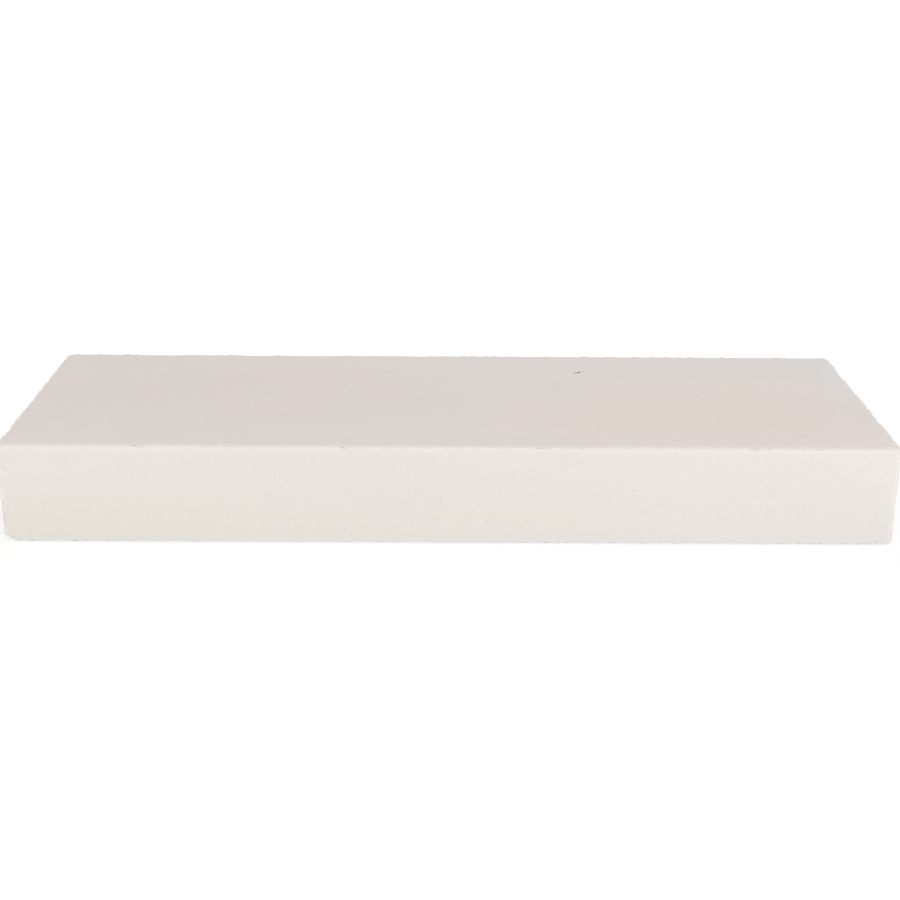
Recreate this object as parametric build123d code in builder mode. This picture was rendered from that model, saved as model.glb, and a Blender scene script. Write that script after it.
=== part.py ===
from build123d import *
import os

# Aerated concrete block, lying on one of its two large faces.
# The origin is at the middle of the face that it lies on, +X runs along the length,
# +Y across the width to the back, and +Z up through the thickness.
# All sizes are in millimetres.

# Sawn block
length = 600.0
width = 200.0
thickness = 70.0

# Edges that handling has rubbed round. The arrises on the floor are the least rubbed.
# Each upright edge is rounder than an upper arris by its own amount of rubbing.
arris_radius = 1.0
floor_arris_radius = 0.5
front_rubbing = 0.2
back_left_rubbing = 2.5
back_right_rubbing = 2.0

# Corner knocked off at the left end of the front face, at the bottom. The break has a
# main facet and a shallow tail, each with its reach along the block's three edges.
break_length = 10.0
break_depth = 11.0
break_height = 7.0
tail_length = 15.0
tail_depth = 8.0
tail_height = 2.6

# Corner at the right end of the front face, at the bottom, rubbed a little
floor_rub_length = 3.0
floor_rub_depth = 3.5
floor_rub_height = 2.0

# Upper back corners, rubbed lower than the arris
left_rub_length = 5.6
left_rub_depth = 8.0
left_rub_height = 3.0
right_rub_length = 5.8
right_rub_depth = 7.0
right_rub_height = 2.9

# Corners, as their directions from the middle of the block
front_left_bottom = Vector(-1, -1, -1)
front_right_bottom = Vector(1, -1, -1)
back_left_top = Vector(-1, 1, 1)
back_right_top = Vector(1, 1, 1)


def corner_facet(corner: Vector, reach: Vector) -> Plane:
    """Plane that meets the three edges of a corner at the reach given for each.

    The plane's normal points out of the block.
    """
    edge_point = Vector(
        corner.X * (length / 2 - reach.X),
        corner.Y * width / 2,
        (1 + corner.Z) * thickness / 2,
    )
    outward = Vector(corner.X / reach.X, corner.Y / reach.Y, corner.Z / reach.Z)
    return Plane(origin=edge_point, z_dir=outward)


worn_corners = [
    corner_facet(front_left_bottom, Vector(break_length, break_depth, break_height)),
    corner_facet(front_left_bottom, Vector(tail_length, tail_depth, tail_height)),
    corner_facet(front_right_bottom, Vector(floor_rub_length, floor_rub_depth, floor_rub_height)),
    corner_facet(back_left_top, Vector(left_rub_length, left_rub_depth, left_rub_height)),
    corner_facet(back_right_top, Vector(right_rub_length, right_rub_depth, right_rub_height)),
]

# Block: one sawn piece, with its edges rubbed round and then its corners worn
with BuildPart() as block:
    with BuildSketch(Plane.XY) as lying_face:
        Rectangle(length, width)
        front_corners = lying_face.vertices().group_by(Axis.Y)[0]
        fillet(front_corners, radius=arris_radius + front_rubbing)
        back_left_corner = lying_face.vertices().group_by(Axis.Y)[-1].sort_by(Axis.X)[0]
        fillet(back_left_corner, radius=arris_radius + back_left_rubbing)
        back_right_corner = lying_face.vertices().group_by(Axis.Y)[-1].sort_by(Axis.X)[-1]
        fillet(back_right_corner, radius=arris_radius + back_right_rubbing)
    extrude(amount=thickness)

    lying, upper = block.faces().filter_by(Axis.Z).sort_by(Axis.Z)
    fillet(upper.edges(), radius=arris_radius)
    fillet(lying.edges(), radius=floor_arris_radius)

    for facet in worn_corners:
        split(bisect_by=facet, keep=Keep.BOTTOM)

block.part.label = "block"

os.makedirs("parts", exist_ok=True)
export_step(block.part, "parts/block.step")

overall = block.part.bounding_box().size
litres = block.part.volume / 1e6
print(f"block: {overall.X:.2f} x {overall.Y:.2f} x {overall.Z:.2f} mm, {litres:.4f} litres")
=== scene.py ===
"""Looks of an aerated concrete block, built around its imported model.

The block is one piece: a sawn slab with crumbled arrises, worn corners and open pores,
all of them in its mesh, under one procedural finish. A studio of a pale floor, soft lamps
and a camera at the photograph's viewing angle shows it.
"""

import logging
import math
import random
from dataclasses import dataclass, field
from enum import Enum
from typing import Any, Iterable, Optional, Union

import bmesh
import bpy
from bmesh.types import BMEdge, BMesh, BMFace
from mathutils import Matrix, Vector, noise


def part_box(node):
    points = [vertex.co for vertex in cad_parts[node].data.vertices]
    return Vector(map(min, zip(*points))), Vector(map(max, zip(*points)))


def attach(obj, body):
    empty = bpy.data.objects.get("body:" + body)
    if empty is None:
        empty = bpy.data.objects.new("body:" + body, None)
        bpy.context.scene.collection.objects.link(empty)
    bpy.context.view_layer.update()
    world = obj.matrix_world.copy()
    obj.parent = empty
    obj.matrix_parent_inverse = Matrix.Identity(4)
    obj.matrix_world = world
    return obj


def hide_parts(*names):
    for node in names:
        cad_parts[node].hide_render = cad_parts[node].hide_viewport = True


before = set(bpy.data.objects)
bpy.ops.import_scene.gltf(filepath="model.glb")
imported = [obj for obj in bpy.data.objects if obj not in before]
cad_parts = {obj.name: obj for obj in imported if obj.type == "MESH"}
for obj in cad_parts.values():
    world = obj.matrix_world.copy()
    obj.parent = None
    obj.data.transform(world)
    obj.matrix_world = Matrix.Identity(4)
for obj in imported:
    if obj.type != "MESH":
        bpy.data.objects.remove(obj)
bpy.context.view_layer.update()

log = logging.getLogger("block")

# Metres in a millimetre
MM = 0.001

BLOCK_NODE = "block"
BODY = "root"

# What the mesh tells its finish, on faces and on points, including where it paints shade and light
SURFACE_KIND = "surface_kind"
PAINTED_PORE_SHADE = "hollow"
WORN_AND_ARRIS_SHADE = "worn"
CHALK_AND_PAINTED_LIGHT = "chalk_and_painted_light"

# Two places nearer than this are one, in metres
TOUCHING = 1e-6

# The share of a length or an area from which it counts as whole
WHOLE = 0.9

# The share of its normal along one axis from which a face counts as flat and square
SQUARE = 0.99999

# How many finer layers the noise of wide patches and swells has
PATCH_LAYERS = 3.0

WHITE = (1.0, 1.0, 1.0, 1.0)


# Shader helpers


class Value:
    """A number socket whose arithmetic adds Math nodes to its tree."""

    def __init__(self, tree: bpy.types.NodeTree, socket: bpy.types.NodeSocket) -> None:
        """Keeps the tree and the socket that the number comes from."""
        self.tree = tree
        self.socket = socket

    def _math(self, operation: str, *terms: Union["Value", float]) -> "Value":
        """Adds one Math node.

        Args:
            operation: The Math node's operation.
            *terms: Its inputs in order, as values or plain numbers.

        Returns:
            The node's result.
        """
        node = self.tree.nodes.new("ShaderNodeMath")
        node.operation = operation
        for socket, term in zip(node.inputs, terms):
            if isinstance(term, Value):
                self.tree.links.new(term.socket, socket)
            else:
                socket.default_value = term
        return Value(self.tree, node.outputs[0])

    def __add__(self, other: Union["Value", float]) -> "Value":
        """This value plus another."""
        return self._math("ADD", self, other)

    __radd__ = __add__

    def __sub__(self, other: Union["Value", float]) -> "Value":
        """This value minus another."""
        return self._math("SUBTRACT", self, other)

    def __rsub__(self, other: float) -> "Value":
        """A number minus this value."""
        return self._math("SUBTRACT", other, self)

    def __mul__(self, other: Union["Value", float]) -> "Value":
        """This value times another."""
        return self._math("MULTIPLY", self, other)

    __rmul__ = __mul__

    def up_to(self, other: Union["Value", float]) -> "Value":
        """The lower of this value and another."""
        return self._math("MINIMUM", self, other)

    def at_least(self, other: Union["Value", float]) -> "Value":
        """The higher of this value and another."""
        return self._math("MAXIMUM", self, other)

    def size(self) -> "Value":
        """This value without its sign."""
        return self._math("ABSOLUTE", self)


class Shader:
    """The node tree of one material or world, built up by calls."""

    def __init__(self, owner: Union[bpy.types.Material, bpy.types.World]) -> None:
        """Turns the owner's nodes on and clears them.

        Args:
            owner: The material or the world.
        """
        owner.use_nodes = True
        self.tree = owner.node_tree
        self.tree.nodes.clear()

    def node(self, kind: str, settings: Optional[dict[str, Any]] = None, **sockets: Any) -> bpy.types.Node:
        """Adds a node, its settings first and then its sockets.

        Args:
            kind: The node's type.
            settings: Attributes of the node by name.
            **sockets: Values or links by socket name, with spaces written as underscores.

        Returns:
            The new node.
        """
        made = self.tree.nodes.new(kind)
        for name, setting in (settings or {}).items():
            setattr(made, name, setting)
        for name, given in sockets.items():
            socket = self._input(made, name)
            if isinstance(given, Value):
                self.tree.links.new(given.socket, socket)
            elif isinstance(given, bpy.types.NodeSocket):
                self.tree.links.new(given, socket)
            else:
                socket.default_value = given
        return made

    @staticmethod
    def _input(made: bpy.types.Node, name: str) -> bpy.types.NodeSocket:
        """Finds an input of a node.

        Args:
            made: The node.
            name: The input's identifier, or its name with spaces written as underscores.

        Returns:
            The input.
        """
        by_identifier = {s.identifier: s for s in made.inputs}
        if name in by_identifier:
            return by_identifier[name]
        return made.inputs[name.replace("_", " ")]

    def value(self, socket: bpy.types.NodeSocket) -> Value:
        """The socket as a value that arithmetic works on."""
        return Value(self.tree, socket)

    def place(self) -> bpy.types.NodeSocket:
        """The object's own coordinates, in metres."""
        return self.node("ShaderNodeTexCoord").outputs["Object"]

    def attribute(self, name: str) -> Value:
        """A number that the mesh has at each of its points."""
        return self.value(self.node("ShaderNodeAttribute", {"attribute_name": name}).outputs["Fac"])

    def noise(self, place: bpy.types.NodeSocket, size: float, detail: float = 2.0) -> Value:
        """Noise centred on a half.

        Args:
            place: The coordinates that it is read at, in metres.
            size: The size of its largest features, in metres.
            detail: How many finer layers it has.

        Returns:
            A value from 0 to 1.
        """
        made = self.node("ShaderNodeTexNoise", Vector=place, Scale=1 / size, Detail=detail, Roughness=0.55)
        return self.value(made.outputs["Fac"])

    def dots(self, place: bpy.types.NodeSocket, spacing: float, rim: float, middle: float) -> Value:
        """Round soft dots in scattered places.

        Args:
            place: The coordinates that they are read at, in metres.
            spacing: How far apart they lie, in metres.
            rim: How far from its middle a dot ends, as a share of the spacing.
            middle: How far from its middle it keeps its full strength.

        Returns:
            A value that is 1 in a dot's middle and 0 between the dots.
        """
        made = self.node(
            "ShaderNodeTexVoronoi", {"feature": "F1"}, Vector=place, Scale=1 / spacing, Randomness=1.0
        )
        return self.ramp(self.value(made.outputs["Distance"]), rim, middle)

    def ramp(self, given: Value, start: float, end: float) -> Value:
        """Maps a value smoothly to 0 at the start and 1 at the end, and holds it outside them.

        Args:
            given: The value.
            start: Where the result is 0.
            end: Where the result is 1.

        Returns:
            The result.
        """
        settings = {"interpolation_type": "SMOOTHSTEP"}
        made = self.node("ShaderNodeMapRange", settings, Value=given, From_Min=start, From_Max=end)
        return self.value(made.outputs["Result"])

    def vector_math(self, operation: str, first: Any, second: Any = (0.0, 0.0, 0.0)) -> bpy.types.Node:
        """Adds a Vector Math node that works on two vectors, each a socket or three numbers."""
        return self.node("ShaderNodeVectorMath", {"operation": operation}, Vector=first, Vector_001=second)

    def mix_colours(self, share: Value, first: Any, second: Any) -> bpy.types.NodeSocket:
        """Goes from one colour to another.

        Args:
            share: The share of the second colour.
            first: The first colour, a socket or four numbers.
            second: The second colour.

        Returns:
            The mixed colour.
        """
        settings = {"data_type": "RGBA", "blend_type": "MIX"}
        made = self.node("ShaderNodeMix", settings, Factor_Float=share, A_Color=first, B_Color=second)
        # All its results are called Result, and the third is the colour
        return made.outputs[2]

    def mix_surfaces(self, share: Value, first: bpy.types.Node, second: bpy.types.Node) -> bpy.types.Node:
        """Goes from one surface or light to another.

        Args:
            share: The share of the second one.
            first: The node of the first one.
            second: The node of the second one.

        Returns:
            The node of the mix.
        """
        return self.node(
            "ShaderNodeMixShader", Fac=share, Shader=first.outputs[0], Shader_001=second.outputs[0]
        )


def linear(red: int, green: int, blue: int) -> tuple[float, float, float, float]:
    """An opaque colour for a socket.

    Args:
        red: The display value of red, from 0 to 255.
        green: The display value of green.
        blue: The display value of blue.

    Returns:
        The linear colour with an alpha of 1.
    """
    shares = [channel / 255 for channel in (red, green, blue)]
    return (*(s / 12.92 if s <= 0.04045 else ((s + 0.055) / 1.055) ** 2.4 for s in shares), 1.0)


def grey(brightness: float) -> tuple[float, float, float, float]:
    """An opaque grey for a socket, of that linear brightness."""
    return (brightness, brightness, brightness, 1.0)


# The block


class Side(Enum):
    """A sawn face, as its outward normal and the two axes that places on it are given along."""

    TOP = ((0, 0, 1), (1, 0, 0), (0, 1, 0))
    BOTTOM = ((0, 0, -1), (-1, 0, 0), (0, 1, 0))
    FRONT = ((0, -1, 0), (1, 0, 0), (0, 0, 1))
    BACK = ((0, 1, 0), (-1, 0, 0), (0, 0, 1))
    LEFT = ((-1, 0, 0), (0, -1, 0), (0, 0, 1))
    RIGHT = ((1, 0, 0), (0, 1, 0), (0, 0, 1))

    @property
    def normal(self) -> Vector:
        """The face's outward normal."""
        return Vector(self.value[0])

    @property
    def along(self) -> Vector:
        """The axis of a place's first number."""
        return Vector(self.value[1])

    @property
    def across(self) -> Vector:
        """The axis of a place's second number."""
        return Vector(self.value[2])


class Surface(Enum):
    """The kind of a face of the mesh, by what made it."""

    SAWN = 0
    BROKEN = 1
    PORE = 2


@dataclass(frozen=True)
class LayeredNoise:
    """Uneven rises and falls in several layers, each finer than the last.

    Attributes:
        size: The size of the largest, in millimetres.
        weakening: How fast the layers get weaker.
        refining: How many times finer each layer is.
        layers: How many layers there are.
    """

    size: float
    weakening: float
    refining: float
    layers: int

    def at(self, place: Vector, shift: tuple[float, float, float] = (0.0, 0.0, 0.0)) -> float:
        """The height at a place.

        Args:
            place: The place, in metres.
            shift: What sets one use of the noise apart from another.

        Returns:
            The height, about -1 to 1.
        """
        shifted = place / (self.size * MM) + Vector(shift)
        return noise.fractal(shifted, self.weakening, self.refining, self.layers)


@dataclass(frozen=True)
class Pore:
    """An open pore, pit or gouge in a face, in millimetres.

    Attributes:
        along: Its place along the face's first axis.
        across: Its place along the face's second axis.
        length: The opening's longer size.
        width: The opening's shorter size.
        depth: How far down its floor lies.
        turn: How far its length is turned from the first axis, in degrees.
        dip: How far its far end is tipped down, in degrees.
    """

    along: float
    across: float
    length: float
    width: float
    depth: float
    turn: float = 0.0
    dip: float = 0.0


@dataclass(frozen=True)
class PoreShape:
    """The uneven ball that every pore is cut with.

    Attributes:
        sunk: How deep its middle lies below the face, as a share of half its depth.
        unevenness: How far its surface rises and falls, as a share of its radius.
        lumps: How many lumps it has along its radius.
        variety: The range of the draws that set one pore's lumps apart from another's.
        chosen_detail: How finely a chosen pore's ball is divided.
        scattered_detail: How finely a scattered pore's ball is divided.
    """

    sunk: float = 0.25
    unevenness: float = 0.28
    lumps: float = 1.3
    variety: float = 50.0
    chosen_detail: int = 3
    scattered_detail: int = 2

    def matrix(self, pore: Pore, face: Matrix) -> Matrix:
        """Works out what makes a ball of radius 1 into a pore.

        Args:
            pore: The pore.
            face: The axes of its face.

        Returns:
            The pore's size, tilt and place in one.
        """
        half = Vector((pore.length / 2, pore.width / 2, pore.depth / (1 + self.sunk))) * MM
        place = face @ Matrix.Translation((pore.along * MM, pore.across * MM, 0))
        turned = Matrix.Rotation(math.radians(pore.turn), 4, "Z")
        dipped = Matrix.Rotation(math.radians(pore.dip), 4, "Y")
        down = Matrix.Translation((0, 0, -self.sunk * half.z))
        return place @ (turned @ dipped) @ down @ Matrix.Diagonal((*half, 1))


@dataclass(frozen=True)
class SmallPores:
    """The small pores scattered over the faces, in millimetres.

    Attributes:
        margin: How far they stay from the arrises.
        apart: How far they stay from another pore, beyond its length.
        smallest: The size of the smallest.
        spread: How much larger the largest is.
        rarity: The power that makes the larger ones rare.
        slimmest: The least width, as a share of the size.
        depth: The depth, as a share of the size.
        counts: How many each face has, in the order in which the faces draw theirs.
    """

    margin: float = 6.0
    apart: float = 3.0
    smallest: float = 0.45
    spread: float = 0.75
    rarity: int = 3
    slimmest: float = 0.7
    depth: float = 0.6
    counts: tuple[tuple[Side, int], ...] = (
        (Side.TOP, 80),
        (Side.BOTTOM, 170),
        (Side.FRONT, 40),
        (Side.BACK, 70),
        (Side.LEFT, 24),
        (Side.RIGHT, 24),
    )

    def drawn(self, along: float, across: float, draw: random.Random) -> Pore:
        """Draws a pore for a place.

        Args:
            along: The place along the face's first axis.
            across: The place along its second axis.
            draw: The source of the pore's sizes.

        Returns:
            The pore.
        """
        size = self.smallest + self.spread * draw.random() ** self.rarity
        width = size * draw.uniform(self.slimmest, 1.0)
        return Pore(along, across, size, width, size * self.depth, draw.uniform(0, 180))

    def clear_of(self, pore: Pore, taken: Iterable[Pore]) -> bool:
        """Whether a pore keeps clear of those that a face has already."""
        return all(
            math.hypot(pore.along - other.along, pore.across - other.across) > other.length + self.apart
            for other in taken
        )


@dataclass(frozen=True)
class Fracture:
    """A break across a corner, as its reach along the corner's three edges in millimetres.

    Attributes:
        corner: The corner's direction from the block's middle, 1 or -1 on each axis.
        reach: How far the break goes along X, Y and Z.
        roughness: How far its surface rises and falls.
    """

    corner: tuple[int, int, int]
    reach: tuple[float, float, float]
    roughness: float


@dataclass(frozen=True)
class BrokenFace:
    """The rough face of the solid that a break is cut with.

    Attributes:
        spread: The solid's size, as a multiple of the break's longest reach.
        grid: The spacing of points on it, in millimetres.
        lumps: Its rises and falls, for a roughness of 1.
        apart: What sets one break's lumps apart from the next one's.
        aside: What sets them all apart from the ripples of the arrises.
    """

    spread: float = 2.6
    grid: float = 0.7
    lumps: LayeredNoise = LayeredNoise(2.4, 0.8, 2.2, 3)
    apart: float = 9.0
    aside: float = 5.0

    def height(self, place: Vector, index: int) -> float:
        """The height of the lumps at a place of the break with that number."""
        return self.lumps.at(place, (index * self.apart, self.aside, 0.0))


def off_faces(place: Vector, low: Vector, high: Vector) -> list[float]:
    """How far a place is from the nearer face on each axis, the shortest way first."""
    return sorted(min(place[i] - low[i], high[i] - place[i]) for i in range(3))


@dataclass(frozen=True)
class ArrisWear:
    """How the arrises have crumbled, in millimetres.

    Attributes:
        reach: How far from an arris the wear ends.
        rubbing: What is worn off everywhere along an arris.
        ripple: The height of the long uneven wear.
        ripples: That unevenness, for a height of 1.
        lobe_reach: How far from an arris the lobes between lost crumbs end.
        lobe: The depth of the notches between two lobes.
        lobe_length: The length of a lobe.
        notch: How wide a notch is, as a share of a lobe.
        notch_sharpness: The power that narrows a notch towards its bottom.
        crumb: The depth of single crumbs broken out.
        crumb_length: The length of such a crumb's hollow.
        crumb_rarity: The noise past which a crumb is lost.
        crumb_shift: What sets the crumbs' noise apart from the ripples'.
        upper_front: The share of the wear that the upper front arris has.
        front_rubbing: What handling has rubbed off it besides.
        front_reach: How far from it that rubbing ends.
        upper_back: The share of the wear that the upper back arris has.
        bottom: The share of the wear that the arrises on the floor have.
        bottom_reach: How far up from the floor their wear ends.
    """

    reach: float = 4.8
    rubbing: float = 0.12
    ripple: float = 0.9
    ripples: LayeredNoise = LayeredNoise(22.0, 1.0, 2.1, 2)
    lobe_reach: float = 2.9
    lobe: float = 1.1
    lobe_length: float = 7.5
    notch: float = 0.5
    notch_sharpness: float = 1.5
    crumb: float = 1.2
    crumb_length: float = 2.8
    crumb_rarity: float = 0.3
    crumb_shift: tuple[float, float, float] = (31.0, 7.0, 13.0)
    upper_front: float = 0.3
    front_rubbing: float = 0.45
    front_reach: float = 2.8
    upper_back: float = 1.5
    bottom: float = 2.2
    bottom_reach: float = 1.2

    def shift(self, place: Vector, low: Vector, high: Vector) -> Vector:
        """How wear moves a point of the surface.

        Points near one arris all move along its diagonal, so that the surface never folds.

        Args:
            place: The point on the unworn surface, in metres.
            low: The block's lowest corner.
            high: The block's highest corner.

        Returns:
            The way from the unworn place to the worn one.
        """
        depth = self._depth(place, low, high)
        if depth == 0.0:
            return Vector()
        inward = Vector([
            max(0.0, 1 - (place[i] - low[i]) / (self.reach * MM))
            - max(0.0, 1 - (high[i] - place[i]) / (self.reach * MM))
            for i in range(3)
        ])
        return inward.normalized() * depth

    def _depth(self, place: Vector, low: Vector, high: Vector) -> float:
        """How far the surface is worn down at a place.

        Args:
            place: The point on the unworn surface, in metres.
            low: The block's lowest corner.
            high: The block's highest corner.

        Returns:
            The depth in metres.
        """
        off = off_faces(place, low, high)[1]
        if off >= self.reach * MM:
            return 0.0
        worn = (self.rubbing + self.ripple * max(0.0, self.ripples.at(place))) * self._fall(off, self.reach)
        if off < self.lobe_reach * MM:
            worn += self._crumbled(place) * self._fall(off, self.lobe_reach)
        under, behind = high.z - place.z, place.y - low.y
        if max(under, behind) < self.reach * MM:
            worn *= self.upper_front
        elif max(under, high.y - place.y) < self.reach * MM:
            worn *= self.upper_back
        elif place.z - low.z < self.reach * MM:
            worn *= self.bottom * self._fall(place.z - low.z, self.bottom_reach)
        worn += self.front_rubbing * self._fall(max(under, behind), self.front_reach)
        return worn * MM

    def _crumbled(self, place: Vector) -> float:
        """How deep notches and lost crumbs are at a place right on an arris.

        Args:
            place: The point on the unworn surface, in metres.

        Returns:
            The depth in millimetres.
        """
        near, far = noise.voronoi(place / (self.lobe_length * MM))[0][:2]
        notch = max(0.0, 1 - (far - near) / self.notch) ** self.notch_sharpness
        lump = noise.noise(place / (self.crumb_length * MM) + Vector(self.crumb_shift))
        return self.lobe * notch + self.crumb * max(0.0, lump - self.crumb_rarity)

    @staticmethod
    def _fall(distance: float, reach: float) -> float:
        """The share of the wear at a distance from an arris.

        Args:
            distance: The distance in metres.
            reach: How far the wear reaches, in millimetres.

        Returns:
            1 on the arris, going to 0 at the reach.
        """
        nearness = max(0.0, 1 - distance / (reach * MM))
        return nearness * nearness * (3 - 2 * nearness)


@dataclass
class SawnBlock:
    """The block as one closed mesh.

    Attributes:
        low: Its lowest corner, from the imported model.
        high: Its highest corner.
        arris_radius: The rounding of the upper arrises, in millimetres.
        floor_radius: The rounding of the arrises on the floor.
        upright_radii: The rounding of each upright edge, by its direction in X and Y.
        arris_flats: How many flats a rounding has.
        bands: Distances from a face at which the neighbouring faces are cut, in millimetres.
        floor_band: The height of one more such cut, just above the floor.
        fine: The spacing of points along an arris, in millimetres.
        cells: How many flat cells a face has along X, Y and Z.
        sharp_angle: The angle past which an edge of the mesh looks sharp, in degrees.
        wear: How its arrises have crumbled.
        fractures: The breaks of its corners, the main one first.
        broken_face: The rough face that a break leaves.
        top_pores: The pores and hollows chosen on the top, the gouge and its scratch first.
        front_pores: The pores chosen on the front, the recesses under its upper arris last.
        nicks: The nicks in the upper front arris, placed as on the front.
        small_pores: The small pores scattered over all its faces.
        pore_shape: The uneven ball that every pore is cut with.
        pore_seed: The number that the pores' draws start from.
        nick_seed: The number that the nicks' draws start from.
    """

    low: Vector
    high: Vector
    arris_radius: float = 1.0
    floor_radius: float = 0.5
    upright_radii: dict[tuple[int, int], float] = field(
        default_factory=lambda: {(-1, -1): 1.2, (1, -1): 1.2, (-1, 1): 3.5, (1, 1): 3.0}
    )
    arris_flats: int = 4
    bands: tuple[float, ...] = (1.5, 3.0, 4.9)
    floor_band: float = 1.2
    fine: float = 1.1
    cells: tuple[int, int, int] = (20, 6, 2)
    sharp_angle: float = 38.0
    wear: ArrisWear = ArrisWear()
    fractures: tuple[Fracture, ...] = (
        Fracture((-1, -1, -1), (10.0, 11.0, 6.2), 0.35),
        Fracture((-1, -1, -1), (15.0, 8.0, 2.6), 0.25),
        Fracture((1, -1, -1), (3.2, 8.0, 5.0), 0.2),
        Fracture((-1, 1, 1), (5.6, 8.0, 3.0), 0.25),
        Fracture((1, 1, 1), (5.8, 7.0, 2.9), 0.25),
    )
    broken_face: BrokenFace = BrokenFace()
    top_pores: tuple[Pore, ...] = (
        Pore(98.4, 58.2, 8.0, 4.4, 2.4, turn=44, dip=14),
        Pore(103.0, 60.6, 3.6, 1.1, 0.7, turn=88),
        Pore(-291.5, 64.0, 4.2, 3.2, 0.5),
        Pore(-235.0, -13.5, 2.2, 2.0, 0.2),
        Pore(-89.5, 91.5, 3.2, 2.6, 0.4),
        Pore(-47.0, 58.0, 8.6, 4.6, 0.5),
        Pore(1.5, 42.5, 2.2, 1.6, 0.4),
        Pore(180.6, 7.6, 4.8, 4.2, 0.85),
        Pore(-208.8, -98.8, 2.9, 2.2, 1.1),
        Pore(151.5, -86.0, 5.4, 3.5, 0.9, turn=12),
        Pore(232.6, -73.6, 3.8, 2.4, 0.8),
    )
    front_pores: tuple[Pore, ...] = (
        Pore(-116.2, 48.2, 1.5, 1.4, 0.6),
        Pore(-185.8, 16.3, 1.3, 1.6, 0.6),
        Pore(-106.0, 7.9, 1.9, 1.6, 0.4),
        Pore(-88.0, 7.4, 1.1, 1.0, 0.6),
        Pore(25.3, 16.7, 1.4, 1.3, 0.5),
        Pore(52.2, 16.4, 1.3, 1.2, 0.5),
        Pore(-5.7, 32.8, 2.6, 2.0, 0.35),
        Pore(175.0, 48.0, 2.2, 1.4, 0.4),
        Pore(223.5, 17.6, 1.6, 1.3, 0.4),
        Pore(123.0, 38.8, 2.8, 1.4, 0.4),
        Pore(2.5, 59.0, 1.0, 0.8, 0.3),
        Pore(181.2, 58.4, 1.4, 0.8, 0.3),
        Pore(-242.0, 26.8, 1.6, 0.8, 0.2),
        Pore(-218.7, 52.8, 0.9, 1.6, 0.35),
        Pore(-161.8, 59.6, 1.2, 0.8, 0.3),
        Pore(-267.8, 15.2, 1.2, 1.3, 0.3),
        Pore(208.0, 46.4, 0.9, 0.8, 0.3),
        Pore(288.6, 2.6, 2.2, 1.5, 0.7),
        Pore(-293.6, 3.6, 1.8, 1.3, 0.6),
        Pore(-159.5, 69.3, 15.0, 1.6, 0.6),
        Pore(-71.0, 69.0, 4.6, 1.8, 0.85, turn=-32),
        Pore(41.0, 69.4, 19.0, 1.5, 0.6),
        Pore(61.0, 69.2, 13.0, 1.7, 0.75),
        Pore(85.0, 69.3, 10.0, 1.6, 0.65),
        Pore(202.0, 69.1, 10.0, 1.7, 0.75),
        Pore(224.5, 69.3, 8.0, 1.6, 0.65),
        Pore(243.0, 69.3, 17.0, 1.6, 0.65),
        Pore(-282.0, 69.5, 28.0, 1.4, 0.5),
        Pore(273.0, 69.4, 34.0, 1.5, 0.5),
    )
    nicks: tuple[Pore, ...] = (
        Pore(-204.4, 70.0, 4.4, 3.5, 2.8),
        Pore(-16.5, 69.9, 4.6, 2.8, 2.1),
        Pore(210.0, 70.1, 4.2, 3.0, 2.1),
        Pore(232.5, 70.1, 4.8, 3.0, 2.2),
        Pore(256.0, 70.1, 5.0, 2.8, 2.0),
    )
    small_pores: SmallPores = SmallPores()
    pore_shape: PoreShape = PoreShape()
    pore_seed: int = 11
    nick_seed: int = 5

    def build(self) -> bpy.types.Object:
        """Makes the block's object.

        Returns:
            The object, with its mesh closed and in place.
        """
        body = self._sawn_body()
        for index, fracture in enumerate(self.fractures):
            self._carve(body, self._fracture_cutter(fracture, index))
        self._carve(body, self._nick_cutter())
        self._carve(body, self._pore_cutter())
        self._mark_wear(body.data)
        self._shade(body.data)
        return body

    def _sawn_body(self) -> bpy.types.Object:
        """Makes the slab with rounded and crumbled arrises, before corners and pores are cut.

        Returns:
            The slab's object.
        """
        bm = bmesh.new()
        bmesh.ops.create_cube(bm, size=1.0)
        bmesh.ops.scale(bm, vec=self.high - self.low, verts=bm.verts)
        bmesh.ops.translate(bm, vec=(self.low + self.high) / 2, verts=bm.verts)
        self._round_edges(bm)
        self._cut_bands(bm)
        self._refine_arrises(bm)
        bmesh.ops.recalc_face_normals(bm, faces=bm.faces)
        self._crumble(bm)
        return self._object(bm, "sawn_block", Surface.SAWN)

    def _round_edges(self, bm: BMesh) -> None:
        """Rounds the upright edges by their own radii, then the rims of the large faces.

        Args:
            bm: The slab's mesh.
        """
        for (side_x, side_y), radius in self.upright_radii.items():
            upright = [
                e for e in bm.edges
                if abs(e.verts[0].co.z - e.verts[1].co.z) > self._size(2) / 2
                and all(v.co.x * side_x > 0 and v.co.y * side_y > 0 for v in e.verts)
            ]
            self._bevel(bm, upright, radius)
        for height, radius in ((self.low.z, self.floor_radius), (self.high.z, self.arris_radius)):
            rim = [e for e in bm.edges if all(abs(v.co.z - height) < TOUCHING for v in e.verts)]
            self._bevel(bm, rim, radius)

    def _bevel(self, bm: BMesh, edges: Iterable[BMEdge], radius: float) -> None:
        """Rounds edges.

        Args:
            bm: The mesh.
            edges: Its edges to round.
            radius: The rounding in millimetres.
        """
        bmesh.ops.bevel(
            bm, geom=list(edges), offset=radius * MM, offset_type="OFFSET", segments=self.arris_flats,
            profile=0.5, affect="EDGES", material=-1, clamp_overlap=False,
        )

    def _size(self, axis: int) -> float:
        """The block's size along an axis, in metres."""
        return self.high[axis] - self.low[axis]

    def _cut_bands(self, bm: BMesh) -> None:
        """Cuts the mesh at each band's distance inside each face, and just above the floor.

        Args:
            bm: The slab's mesh.
        """
        for axis in range(3):
            normal = self._direction(axis)
            for distance in self.bands:
                for place in (self.low[axis] + distance * MM, self.high[axis] - distance * MM):
                    self._slice(bm, bm.faces, normal * place, normal)
        up = Side.TOP.normal
        self._slice(bm, bm.faces, up * (self.low.z + self.floor_band * MM), up)

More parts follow.
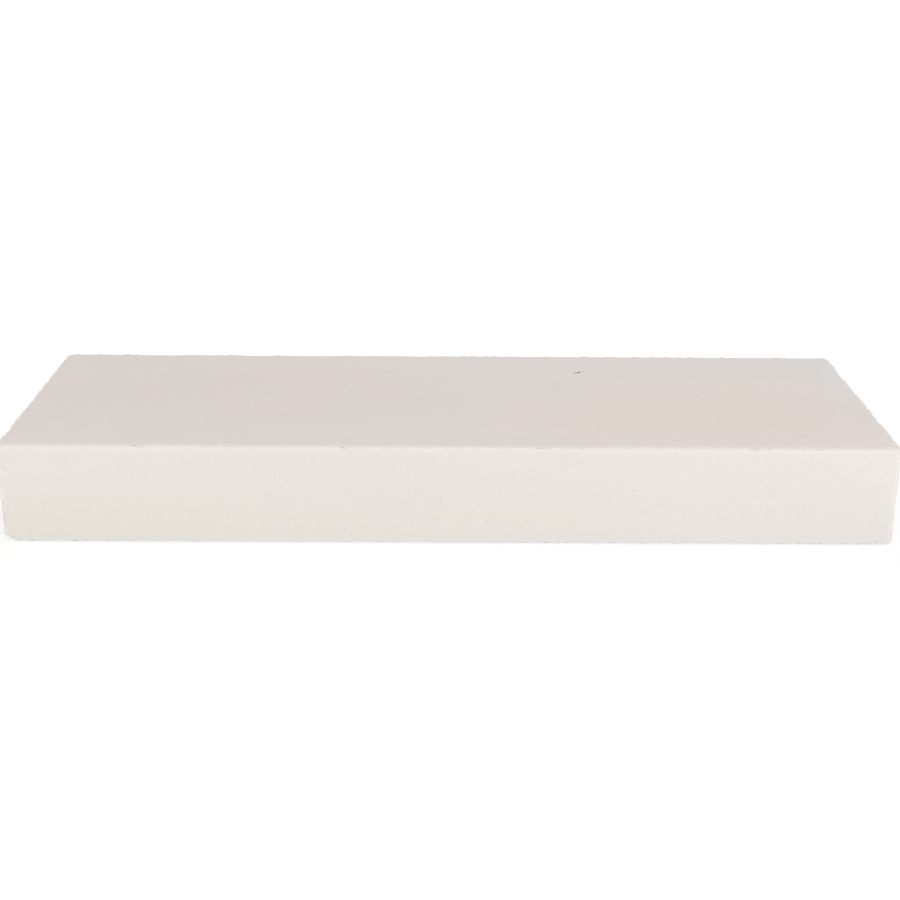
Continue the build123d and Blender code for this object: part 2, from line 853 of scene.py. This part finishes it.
    @staticmethod
    def _direction(axis: int) -> Vector:
        """The direction of an axis, by its number."""
        return Vector((axis == 0, axis == 1, axis == 2))

    @staticmethod
    def _slice(bm: BMesh, faces: Iterable[BMFace], point: Vector, normal: Vector) -> None:
        """Cuts faces along a plane and keeps both sides.

        Args:
            bm: The mesh.
            faces: Its faces that are cut.
            point: A point of the plane.
            normal: The plane's normal.
        """
        faces = list(faces)
        edges = {e for f in faces for e in f.edges}
        verts = {v for f in faces for v in f.verts}
        bmesh.ops.bisect_plane(
            bm, geom=[*verts, *edges, *faces], dist=TOUCHING, plane_co=point, plane_no=normal
        )

    def _refine_arrises(self, bm: BMesh) -> None:
        """Divides the long strips beside the arrises finely and the flat middles into cells.

        Args:
            bm: The slab's mesh.
        """
        inset = 2 * max(self.bands) * MM
        spans = [self._size(axis) - inset for axis in range(3)]
        # The middle of an end is the smallest of the six
        middles = [f for f in bm.faces if f.calc_area() > spans[1] * spans[2] / 2]
        bmesh.ops.delete(bm, geom=middles, context="FACES_ONLY")
        for axis, span in enumerate(spans):
            per_cell = max(1, round(span / self.cells[axis] / (self.fine * MM)))
            long_edges = [
                e for e in bm.edges if abs(e.verts[0].co[axis] - e.verts[1].co[axis]) > WHOLE * span
            ]
            cuts = self.cells[axis] * per_cell - 1
            bmesh.ops.subdivide_edges(bm, edges=long_edges, cuts=cuts, use_grid_fill=True)
        bmesh.ops.holes_fill(bm, edges=[e for e in bm.edges if e.is_boundary], sides=0)
        self._divide_into_cells(bm, spans)

    def _divide_into_cells(self, bm: BMesh, spans: list[float]) -> None:
        """Cuts the flat middles of the faces into cells.

        Args:
            bm: The slab's mesh.
            spans: The middles' size along X, Y and Z, in metres.
        """
        # Only the middles have faces past this size with points along their sides
        limit = WHOLE * (2 * self.fine * MM) ** 2
        for axis, span in enumerate(spans):
            normal = self._direction(axis)
            start = (self.low[axis] + self.high[axis] - span) / 2
            for step in range(1, self.cells[axis]):
                flat = [f for f in bm.faces if f.calc_area() > limit and len(f.verts) > 4]
                self._slice(bm, flat, normal * (start + span * step / self.cells[axis]), normal)

    def _crumble(self, bm: BMesh) -> None:
        """Wears the points near the arrises down."""
        for vert in bm.verts:
            vert.co += self.wear.shift(vert.co, self.low, self.high)

    def _fracture_cutter(self, fracture: Fracture, index: int) -> bpy.types.Object:
        """Makes a rough-faced solid that takes a corner off.

        Args:
            fracture: The break.
            index: Its number, which sets its own roughness apart from the others'.

        Returns:
            The cutter's object.
        """
        outward, on_edge = self._break_plane(fracture)
        corner = on_edge + Vector((fracture.corner[0] * fracture.reach[0] * MM, 0, 0))
        size = self.broken_face.spread * max(fracture.reach) * MM
        cuts = round(size / (self.broken_face.grid * MM))
        bm = bmesh.new()
        bmesh.ops.create_cube(bm, size=size)
        bmesh.ops.subdivide_edges(bm, edges=bm.edges, cuts=cuts, use_grid_fill=True)
        for vert in [v for v in bm.verts if v.co.z < TOUCHING - size / 2]:
            vert.co.z += self.broken_face.height(vert.co, index) * fracture.roughness * MM
        turn = outward.to_track_quat("Z", "X").to_matrix().to_4x4()
        centre = (corner + on_edge) / 2
        centre += outward * (size / 2 - (centre - on_edge).dot(outward))
        bmesh.ops.transform(bm, matrix=Matrix.Translation(centre) @ turn, verts=bm.verts)
        return self._object(bm, f"fracture_{index}", Surface.BROKEN)

    def _break_plane(self, fracture: Fracture) -> tuple[Vector, Vector]:
        """Finds the plane of a break.

        Args:
            fracture: The break.

        Returns:
            Its outward normal, and its point on the edge along X.
        """
        outward = Vector([fracture.corner[i] / fracture.reach[i] for i in range(3)]).normalized()
        point = Vector([self.high[i] if fracture.corner[i] > 0 else self.low[i] for i in range(3)])
        point.x -= fracture.corner[0] * fracture.reach[0] * MM
        return outward, point

    def _nick_cutter(self) -> bpy.types.Object:
        """Makes one mesh of the nicks in the upper front arris.

        Returns:
            The cutter's object.
        """
        bm = bmesh.new()
        draw = random.Random(self.nick_seed)
        self._add_pores(bm, Side.FRONT, self.nicks, draw, self.pore_shape.chosen_detail)
        return self._object(bm, "nicks", Surface.BROKEN)

    def _pore_cutter(self) -> bpy.types.Object:
        """Makes one mesh of all the pores that are cut into the faces.

        Returns:
            The cutter's object.
        """
        bm = bmesh.new()
        draw = random.Random(self.pore_seed)
        chosen = {Side.TOP: self.top_pores, Side.FRONT: self.front_pores}
        for side, count in self.small_pores.counts:
            pores = chosen.get(side, ())
            self._add_pores(bm, side, pores, draw, self.pore_shape.chosen_detail)
            scattered = self._scatter(side, count, pores, draw)
            self._add_pores(bm, side, scattered, draw, self.pore_shape.scattered_detail)
        return self._object(bm, "pores", Surface.PORE)

    def _scatter(self, side: Side, count: int, chosen: Iterable[Pore], draw: random.Random) -> list[Pore]:
        """Draws small pores all over a face, clear of the arrises and of one another.

        Args:
            side: The face.
            count: How many it gets.
            chosen: The pores that it has already.
            draw: The source of their places and sizes.

        Returns:
            The pores.
        """
        margin = self.small_pores.margin * MM
        ends = [sorted((self.low.dot(axis), self.high.dot(axis))) for axis in (side.along, side.across)]
        taken = list(chosen)
        made: list[Pore] = []
        while len(made) < count:
            along, across = (draw.uniform(start + margin, end - margin) / MM for start, end in ends)
            pore = self.small_pores.drawn(along, across, draw)
            if self.small_pores.clear_of(pore, taken):
                taken.append(pore)
                made.append(pore)
        return made

    def _add_pores(
        self, bm: BMesh, side: Side, pores: Iterable[Pore], draw: random.Random, detail: int
    ) -> None:
        """Adds the solids of a face's pores to a cutter.

        Args:
            bm: The cutter's mesh.
            side: The face that they are cut into.
            pores: The pores.
            draw: The source of their uneven shapes.
            detail: How finely their balls are divided.
        """
        shape = self.pore_shape
        ball = bmesh.new()
        bmesh.ops.create_icosphere(ball, subdivisions=detail, radius=1.0)
        unit = [vert.co.copy() for vert in ball.verts]
        mesh = bpy.data.meshes.new("ball")
        for pore in pores:
            shift = Vector([draw.uniform(0, shape.variety) for _ in range(3)])
            placed = shape.matrix(pore, self._frame(side))
            for vert, co in zip(ball.verts, unit):
                vert.co = placed @ (co * (1 + shape.unevenness * noise.noise(co * shape.lumps + shift)))
            ball.to_mesh(mesh)
            bm.from_mesh(mesh)
        ball.free()
        bpy.data.meshes.remove(mesh)

    def _frame(self, side: Side) -> Matrix:
        """Finds the axes of a face.

        Args:
            side: The face.

        Returns:
            Its axes, with the block's own zero on both of them and the third one outward.
        """
        level = max(self.high.dot(side.normal), self.low.dot(side.normal))
        turn = Matrix((side.along, side.across, side.normal)).transposed().to_4x4()
        return Matrix.Translation(side.normal * level) @ turn

    @staticmethod
    def _object(bm: BMesh, name: str, surface: Surface) -> bpy.types.Object:
        """Makes an object of a mesh whose faces all have one kind of surface.

        Args:
            bm: The mesh, which is freed.
            name: The object's name.
            surface: The kind of surface.

        Returns:
            The object.
        """
        kind = bm.faces.layers.int.new(SURFACE_KIND)
        for face in bm.faces:
            face[kind] = surface.value
        mesh = bpy.data.meshes.new(name)
        bm.to_mesh(mesh)
        bm.free()
        made = bpy.data.objects.new(name, mesh)
        bpy.context.scene.collection.objects.link(made)
        return made

    @staticmethod
    def _carve(body: bpy.types.Object, cutter: bpy.types.Object) -> None:
        """Cuts the cutter out of the body and removes the cutter.

        Args:
            body: The block.
            cutter: The solid that is cut out of it.
        """
        cut = body.modifiers.new(cutter.name, "BOOLEAN")
        cut.operation = "DIFFERENCE"
        cut.solver = "MANIFOLD"
        cut.object = cutter
        bpy.context.view_layer.update()
        graph = bpy.context.evaluated_depsgraph_get()
        carved = bpy.data.meshes.new_from_object(body.evaluated_get(graph))
        body.modifiers.clear()
        old, body.data = body.data, carved
        carved.name = body.name
        bpy.data.meshes.remove(old)
        bpy.data.objects.remove(cutter)

    def _mark_wear(self, mesh: bpy.types.Mesh) -> None:
        """Writes three numbers on each point for the finish to read.

        The hollow one is how far below its face a pore's point lies, in millimetres, and sets the
        painted shade in the pore. The worn one is 1 on a break and up to 1 on the upper front arris;
        it sets their greyer worn tone, which on that arris is also painted shade over its highlight.
        The chalk_and_painted_light one is up to 1 on the other arrises, and less towards the floor;
        it sets their paler powder, which is also painted light on their shaded bevels. All three are
        0 on a sawn face.

        Args:
            mesh: The block's mesh.
        """
        bm = bmesh.new()
        bm.from_mesh(mesh)
        kind = bm.faces.layers.int[SURFACE_KIND]
        hollow, worn, chalk_and_painted_light = (bm.verts.layers.float.new(name) for name in (PAINTED_PORE_SHADE, WORN_AND_ARRIS_SHADE, CHALK_AND_PAINTED_LIGHT))
        for vert in bm.verts:
            kinds = {face[kind] for face in vert.link_faces}
            off = off_faces(vert.co, self.low, self.high)
            near = max(0.0, 1 - off[1] / (self.wear.reach * MM))
            broken = Surface.BROKEN.value in kinds
            front = self._at_upper_front(vert.co)
            # Greyer worn tone on breaks and the upper front arris, also painted shade over that arris's
            # highlight
            vert[worn] = 1.0 if broken else near * front
            # Paler powder, also painted light on the shaded bevels, less towards the floor
            vert[chalk_and_painted_light] = 0.0 if broken or front else near * self._off_floor(vert.co)
            # The depth of a pore's point, which sets the painted shade in the pore
            vert[hollow] = off[0] / MM if Surface.PORE.value in kinds else 0.0
        bm.to_mesh(mesh)
        bm.free()

    def _off_floor(self, place: Vector) -> float:
        """0 on the floor, and 1 from the wear's reach above it."""
        return min(1.0, (place.z - self.low.z) / (self.wear.reach * MM))

    def _at_upper_front(self, place: Vector) -> bool:
        """Whether a place is within the wear's reach of the upper front arris."""
        return max(self.high.z - place.z, place.y - self.low.y) < self.wear.reach * MM

    def _shade(self, mesh: bpy.types.Mesh) -> None:
        """Shades the mesh smooth, but for its sharp edges and the flat cells of its sawn faces.

        Args:
            mesh: The block's mesh.
        """
        mesh.shade_smooth()
        mesh.set_sharp_from_angle(angle=math.radians(self.sharp_angle))
        for face in mesh.polygons:
            if max(abs(part) for part in face.normal) > SQUARE and face.area > (self.fine * MM) ** 2:
                face.use_smooth = False


@dataclass(frozen=True)
class StainAndPaintedLight:
    """A faint stained patch around one place; a few patches are painted light instead.

    Attributes:
        place: Its middle, in millimetres.
        reach: How far it spreads along X, Y and Z, in millimetres.
        colour: Its colour.
        strength: Its share at the middle.
        core: The share of its reach over which it keeps its full strength.
    """

    place: tuple[float, float, float]
    reach: tuple[float, float, float]
    colour: tuple[int, int, int]
    strength: float
    core: float = 0.0

    def over(
        self, shader: Shader, place: bpy.types.NodeSocket, colour: bpy.types.NodeSocket
    ) -> bpy.types.NodeSocket:
        """Puts the patch over a colour.

        Args:
            shader: The material's nodes.
            place: The coordinates.
            colour: The colour without the patch.

        Returns:
            The colour with the patch.
        """
        middle, reach = (tuple(part * MM for part in given) for given in (self.place, self.reach))
        offset = shader.vector_math("SUBTRACT", place, middle)
        shares = shader.vector_math("DIVIDE", offset.outputs["Vector"], reach)
        away = shader.vector_math("LENGTH", shares.outputs["Vector"]).outputs["Value"]
        share = shader.ramp(shader.value(away), 1.0, self.core) * self.strength
        return shader.mix_colours(share, colour, linear(*self.colour))


@dataclass(frozen=True)
class Tone:
    """A colour that one of the mesh's numbers brings out.

    Attributes:
        colour: The colour.
        start: The number at which it starts.
        full: The number from which it has its whole share.
        share: Its whole share.
    """

    colour: tuple[int, int, int]
    start: float
    full: float
    share: float

    def part(self, shader: Shader, number: str) -> Value:
        """The tone's share of the colour, from the mesh's number of that name."""
        return shader.ramp(shader.attribute(number), self.start, self.full) * self.share


@dataclass(frozen=True)
class Relief:
    """Relief too fine for the mesh.

    Attributes:
        grain: The height of the grain.
        swell: The size of the soft swells, in metres.
        swells: Their height.
        pinholes: The depth of the pinholes.
        height: The height that a relief of 1 stands for, in metres.
        strength: The share of the relief that shows.
    """

    grain: float = 0.35
    swell: float = 0.004
    swells: float = 0.5
    pinholes: float = 0.9
    height: float = 0.0004
    strength: float = 0.3

    def normal(
        self, shader: Shader, place: bpy.types.NodeSocket, grain: Value, pinholes: Value
    ) -> bpy.types.NodeSocket:
        """Makes the bumped normal.

        Args:
            shader: The material's nodes.
            place: The coordinates.
            grain: The grain's noise.
            pinholes: 1 in a pinhole's middle and 0 between them.

        Returns:
            The normal.
        """
        swells = shader.noise(place, self.swell, PATCH_LAYERS)
        relief = grain * self.grain + swells * self.swells - pinholes * self.pinholes
        bump = shader.node("ShaderNodeBump", Strength=self.strength, Distance=self.height, Height=relief)
        return bump.outputs["Normal"]


@dataclass(frozen=True)
class AeratedFinish:
    """Finish of sawn aerated concrete: dusty, dull, warm white.

    A pair of limits gives the numbers at which something starts and is full. Its colour also
    paints shade into the pores and onto the upper front arris, and light onto the other arrises
    and along the foot of the front.

    Attributes:
        warm: The colour where it is warmer.
        cool: The colour where it is greyer.
        patch: The size of the patches of colour, in metres.
        patch_limits: The limits of the patches' noise, from cool to warm.
        arris: The greyer worn tone of the upper front arris and of broken corners; on that arris it
            is also painted shade that damps its highlight.
        chalk_and_painted_light: The tone of the other arrises, crumbled to a paler powder, which is
            also painted light on their shaded bevels.
        hollow: The painted shade in a pore, by its depth in millimetres; its colour also darkens
            the spots and the grain.
        pore: The spacing of the finest pores, in metres.
        pore_limits: The rim and the middle of such a pore, as shares of the spacing.
        crowd: The size of the areas where those pores crowd, in metres.
        crowd_limits: The limits of those areas' noise.
        pinhole_shade: The share of the hollow's colour in such a pore, as painted shade.
        spot: The spacing of the faint spots, in metres.
        spot_limits: The rim and the middle of such a spot, as shares of the spacing.
        spot_share: The share of the hollow's colour in such a spot.
        grain: The size of the grain, in metres.
        grain_limits: The limits of the grain's noise, from light to dark.
        grain_share: The share of the hollow's colour in the dark grain.
        relief: The relief too fine for the mesh.
        roughness: How dull the surface is.
        shine: The strength of its highlights.
        stains_and_painted_light: The faint stained patches, first the wide ones, with a painted pale
            line along the foot of the front that lifts the shade of its bevel.
    """

    warm: tuple[int, int, int] = (229, 222, 216)
    cool: tuple[int, int, int] = (227, 221, 216)
    patch: float = 0.06
    patch_limits: tuple[float, float] = (0.35, 0.65)
    # Worn tone, and painted shade that damps the upper front arris's highlight
    arris: Tone = Tone((218, 212, 206), 0.45, 0.85, 0.7)
    # Paler powder, also painted light on the shaded bevels of the other arrises
    chalk_and_painted_light: Tone = Tone((238, 233, 228), 0.1, 0.8, 0.7)
    # Painted shade in the pores, darker with depth; its colour also darkens the spots and the grain
    hollow: Tone = Tone((182, 174, 168), 0.0, 1.0, 0.55)
    pore: float = 0.0021
    pore_limits: tuple[float, float] = (0.3, 0.1)
    crowd: float = 0.012
    crowd_limits: tuple[float, float] = (0.42, 0.62)
    # Painted shade in the pinholes
    pinhole_shade: float = 0.11
    spot: float = 0.016
    spot_limits: tuple[float, float] = (0.19, 0.04)
    spot_share: float = 0.07
    grain: float = 0.0006
    grain_limits: tuple[float, float] = (0.5, 0.2)
    grain_share: float = 0.05
    relief: Relief = Relief()
    roughness: float = 0.94
    shine: float = 0.2
    stains_and_painted_light: tuple[StainAndPaintedLight, ...] = (
        StainAndPaintedLight((-110.0, -100.0, 10.0), (310.0, 40.0, 55.0), (228, 221, 213), 0.7, core=0.5),
        StainAndPaintedLight((0.0, -100.0, 52.0), (230.0, 40.0, 42.0), (225, 219, 213), 0.8, core=0.4),
        StainAndPaintedLight((185.0, -100.0, 48.0), (140.0, 40.0, 45.0), (227, 220, 217), 0.8, core=0.2),
        StainAndPaintedLight((-130.0, -10.0, 70.0), (230.0, 110.0, 30.0), (226, 219, 214), 0.8, core=0.4),
        StainAndPaintedLight((170.0, -40.0, 70.0), (170.0, 75.0, 30.0), (227, 220, 213), 0.8, core=0.3),
        StainAndPaintedLight((190.0, 100.0, 70.0), (540.0, 70.0, 30.0), (226, 223, 220), 0.8, core=0.2),
        StainAndPaintedLight((300.0, 40.0, 70.0), (45.0, 80.0, 30.0), (225, 224, 223), 0.7, core=0.2),
        StainAndPaintedLight((-50.0, 50.0, 70.0), (110.0, 70.0, 30.0), (228, 221, 218), 0.6, core=0.3),
        StainAndPaintedLight((0.0, -100.0, 0.0), (1200.0, 30.0, 7.0), (226, 223, 218), 0.8, core=0.15),
        # Painted light: a pale line along the front's foot lifts the shade of the bevel on the floor
        StainAndPaintedLight((0.0, -100.0, 0.0), (1200.0, 8.0, 1.5), (242, 236, 230), 0.9, core=0.6),
        StainAndPaintedLight((125.5, -100.0, 36.5), (10.0, 10.0, 10.0), (231, 219, 207), 0.4),
        StainAndPaintedLight((95.5, -75.5, 70.0), (5.0, 5.0, 5.0), (214, 207, 201), 0.25),
        StainAndPaintedLight((128.5, 70.0, 70.0), (5.0, 5.0, 5.0), (214, 207, 201), 0.2),
        StainAndPaintedLight((-69.5, -92.0, 70.0), (5.0, 8.0, 5.0), (214, 207, 201), 0.25),
        StainAndPaintedLight((238.2, -77.0, 70.0), (4.5, 2.6, 3.0), (205, 198, 192), 0.4),
    )

    def material(self) -> bpy.types.Material:
        """Makes the material.

        Returns:
            The material, reading Object coordinates and the block's attributes.
        """
        made = bpy.data.materials.new("sawn_aerated_concrete")
        shader = Shader(made)
        place = shader.place()
        patches = shader.ramp(shader.noise(place, self.patch, PATCH_LAYERS), *self.patch_limits)
        colour = shader.mix_colours(patches, linear(*self.cool), linear(*self.warm))
        # Stained patches, and a painted pale line along the foot
        for stain_and_light in self.stains_and_painted_light:
            colour = stain_and_light.over(shader, place, colour)
        # Worn tone and painted shade on the upper front arris and breaks; paler powder and painted light on
        # the other arrises
        for tone, number in ((self.arris, WORN_AND_ARRIS_SHADE), (self.chalk_and_painted_light, CHALK_AND_PAINTED_LIGHT)):
            colour = shader.mix_colours(tone.part(shader, number), colour, linear(*tone.colour))

        grain = shader.noise(place, self.grain)
        pinholes = self._pinholes(shader, place)
        spots = shader.dots(place, self.spot, *self.spot_limits)
        # The hollow colour darkens the spots and the grain, and is painted shade in the pinholes and in the
        # pores by their depth
        dark = pinholes * self.pinhole_shade + spots * self.spot_share
        dark = dark + shader.ramp(grain, *self.grain_limits) * self.grain_share
        dark = (dark + self.hollow.part(shader, PAINTED_PORE_SHADE)).up_to(1.0)
        colour = shader.mix_colours(dark, colour, linear(*self.hollow.colour))

        normal = self.relief.normal(shader, place, grain, pinholes)
        surface = shader.node(
            "ShaderNodeBsdfPrincipled", Base_Color=colour, Roughness=self.roughness, Normal=normal
        )
        surface.inputs["Specular IOR Level"].default_value = self.shine
        shader.node("ShaderNodeOutputMaterial", Surface=surface.outputs["BSDF"])
        return made

    def _pinholes(self, shader: Shader, place: bpy.types.NodeSocket) -> Value:
        """Makes the finest pores, sparse and uneven.

        Args:
            shader: The material's nodes.
            place: The coordinates.

        Returns:
            A value that is 1 in a pore's middle and 0 between them.
        """
        pores = shader.dots(place, self.pore, *self.pore_limits)
        return pores * shader.ramp(shader.noise(place, self.crowd), *self.crowd_limits)


# The studio


@dataclass(frozen=True)
class Lamp:
    """A soft rectangular lamp.

    Attributes:
        name: Its name.
        place: Where it hangs, in metres.
        size: Its width and height, in metres.
        power: Its power in watts.
        colour: Its colour, linear.
    """

    name: str
    place: tuple[float, float, float]
    size: tuple[float, float]
    power: float
    colour: tuple[float, float, float]

    def hang(self, target: Vector) -> None:
        """Hangs the lamp so that it faces the target.

        Args:
            target: The point that it faces.
        """
        data = bpy.data.lights.new(self.name, "AREA")
        data.shape = "RECTANGLE"
        data.size, data.size_y = self.size
        data.energy = self.power
        data.color = self.colour
        lamp = bpy.data.objects.new(self.name, data)
        lamp.location = self.place
        lamp.rotation_euler = (target - lamp.location).to_track_quat("-Z", "Y").to_euler()
        lamp.visible_camera = False
        bpy.context.scene.collection.objects.link(lamp)


@dataclass(frozen=True)
class PhotoCamera:
    """The camera that took the photograph, as worked out from the block's corners.

    Attributes:
        place: Where it stood in the block's frame, in millimetres.
        yaw: How far it was turned to the right, in degrees.
        pitch: How far it looked down, in degrees.
        roll: How far it was tipped, in degrees.
        focal: Its focal length in pixels of the photograph.
        frame_size: The photograph's width in pixels.
        centre: The pixel that its optical axis met.
        sensor: The width of the sensor, in millimetres.
        sight: How near and how far it sees, in metres.
    """

    place: tuple[float, float, float] = (-7.2, -989.2, 414.9)
    yaw: float = 0.447
    pitch: float = 19.343
    roll: float = 0.437
    focal: float = 1444.0
    frame_size: float = 900.0
    centre: tuple[float, float] = (450.0, 400.0)
    sensor: float = 36.0
    sight: tuple[float, float] = (0.05, 100.0)

    def set_up(self) -> None:
        """Makes the scene's camera."""
        data = bpy.data.cameras.new("photo_camera")
        data.sensor_width = self.sensor
        data.lens = self.focal / self.frame_size * self.sensor
        data.shift_x = -(self.centre[0] - self.frame_size / 2) / self.frame_size
        data.shift_y = (self.centre[1] - self.frame_size / 2) / self.frame_size
        data.clip_start, data.clip_end = self.sight
        camera = bpy.data.objects.new("photo_camera", data)
        camera.matrix_world = Matrix.Translation(Vector(self.place) * MM) @ self._turn().to_4x4()
        bpy.context.scene.collection.objects.link(camera)
        bpy.context.scene.camera = camera

    def _turn(self) -> Matrix:
        """Works out which way the camera faces.

        Returns:
            Its axes: right, up and back.
        """
        yaw, pitch, roll = (math.radians(angle) for angle in (self.yaw, self.pitch, self.roll))
        ahead = Vector((math.sin(yaw) * math.cos(pitch), math.cos(yaw) * math.cos(pitch), -math.sin(pitch)))
        level = Vector((math.cos(yaw), -math.sin(yaw), 0))
        above = level.cross(ahead)
        right = level * math.cos(roll) + above * math.sin(roll)
        up = above * math.cos(roll) - level * math.sin(roll)
        return Matrix((right, up, -ahead)).transposed()


@dataclass
class Studio:
    """The pale floor, the lamps and the surroundings.

    The camera, reflections and glass see a white floor and white surroundings. All other
    light comes from duller ones, so that the block keeps its own colour.

    Attributes:
        middle: The point that the lamps face.
        half: Half the block's size.
        surround: The light from all round, linear.
        floor_size: Half the floor's width, in metres.
        floor_drop: How far the floor lies below the block, in metres.
        glow: The strength of the floor's white where it is seen.
        shadow: The share of the floor's own shading that shows beside the block.
        shadow_reach: How far from the block that share ends, in metres.
        bounce: The share of light that the floor sends back onto the block.
        shaded_bounce: What is left of that share beside the block, a painted shade on the floor there.
        lamps: The lamps.
    """

    middle: Vector
    half: Vector
    surround: tuple[float, float, float] = (0.552, 0.539, 0.528)
    floor_size: float = 30.0
    floor_drop: float = 0.0001
    glow: float = 1.06
    shadow: float = 0.38
    shadow_reach: float = 0.10
    bounce: float = 0.78
    shaded_bounce: float = 0.8
    lamps: tuple[Lamp, ...] = (
        Lamp("key_softbox", (0.45, -2.5, 1.6), (4.4, 1.6), 66.8, (0.970, 1.004, 1.032)),
        Lamp("back_softbox", (0.3, 2.4, 1.65), (2.6, 1.4), 14.9, (1.0, 0.83, 0.79)),
    )

    def set_up(self) -> None:
        """Makes the floor, hangs the lamps and sets the surroundings."""
        self._floor()
        for lamp in self.lamps:
            lamp.hang(self.middle)
        self._surroundings()
        bpy.context.scene.view_settings.view_transform = "Standard"

    @staticmethod
    def _seen_directly(shader: Shader) -> Value:
        """Tells rays that see a surface from rays that light the block.

        Args:
            shader: The nodes of the surface.

        Returns:
            1 for rays from the camera, a reflection or through glass, and 0 for the rest.
        """
        path = shader.node("ShaderNodeLightPath").outputs
        names = ("Is Camera Ray", "Is Glossy Ray", "Is Transmission Ray")
        seeing, mirrored, through = (shader.value(path[name]) for name in names)
        return (seeing + mirrored + through).up_to(1.0)

    def _floor(self) -> None:
        """Makes a wide floor that looks white and keeps a soft shadow near the block."""
        bm = bmesh.new()
        bmesh.ops.create_grid(bm, x_segments=2, y_segments=2, size=self.floor_size)
        mesh = bpy.data.meshes.new("floor")
        bm.to_mesh(mesh)
        bm.free()
        floor = bpy.data.objects.new("floor", mesh)
        floor.location.z = -self.floor_drop
        bpy.context.scene.collection.objects.link(floor)
        mesh.materials.append(self._floor_material())

    def _floor_material(self) -> bpy.types.Material:
        """Makes the floor's material.

        Returns:
            The material: white to the camera but for a soft shadow, and duller to other light, with
            a painted shade beside the block.
        """
        made = bpy.data.materials.new("pale_floor")
        shader = Shader(made)
        beside = self._beside_block(shader)
        white = shader.node("ShaderNodeEmission", Color=WHITE, Strength=self.glow)
        shaded = shader.node("ShaderNodeBsdfDiffuse", Color=WHITE)
        seen = shader.mix_surfaces(beside * self.shadow, white, shaded)
        # Painted shade: the floor sends back less light beside the block, so the block's lower front gets
        # darker
        away, near = grey(self.bounce), grey(self.bounce * self.shaded_bounce)
        unseen = shader.node("ShaderNodeBsdfDiffuse", Color=shader.mix_colours(beside, away, near))
        both = shader.mix_surfaces(self._seen_directly(shader), unseen, seen)
        shader.node("ShaderNodeOutputMaterial", Surface=both.outputs[0])
        return made

    def _beside_block(self, shader: Shader) -> Value:
        """Tells the floor beside the block from the rest.

        Args:
            shader: The floor's nodes.

        Returns:
            1 on the floor beside the block, going to 0 away from it.
        """
        axes = shader.node("ShaderNodeSeparateXYZ", Vector=shader.place()).outputs
        off_end = shader.value(axes["X"]).size() - self.half.x
        off_side = shader.value(axes["Y"]).size() - self.half.y
        return shader.ramp(off_end.at_least(off_side), self.shadow_reach, 0.0)

    def _surroundings(self) -> None:
        """Makes the world white to the camera and an even soft light to the block."""
        world = bpy.data.worlds.new("surroundings")
        bpy.context.scene.world = world
        shader = Shader(world)
        light = shader.node("ShaderNodeBackground", Color=(*self.surround, 1.0), Strength=1.0)
        white = shader.node("ShaderNodeBackground", Color=WHITE, Strength=1.0)
        both = shader.mix_surfaces(self._seen_directly(shader), light, white)
        shader.node("ShaderNodeOutputWorld", Surface=both.outputs[0])


def main() -> None:
    """Builds the block and the studio, and reports each piece."""
    logging.basicConfig(level=logging.INFO, format="%(name)s: %(message)s")
    low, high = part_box(BLOCK_NODE)
    block = SawnBlock(low, high).build()
    block.data.materials.clear()
    block.data.materials.append(AeratedFinish().material())
    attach(block, BODY)
    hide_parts(BLOCK_NODE)
    triangles = sum(len(p.vertices) - 2 for p in block.data.polygons)
    log.info("%s: %d faces, %d triangles", block.name, len(block.data.polygons), triangles)
    Studio((low + high) / 2, (high - low) / 2).set_up()
    PhotoCamera().set_up()


if __name__ == "__main__":
    main()
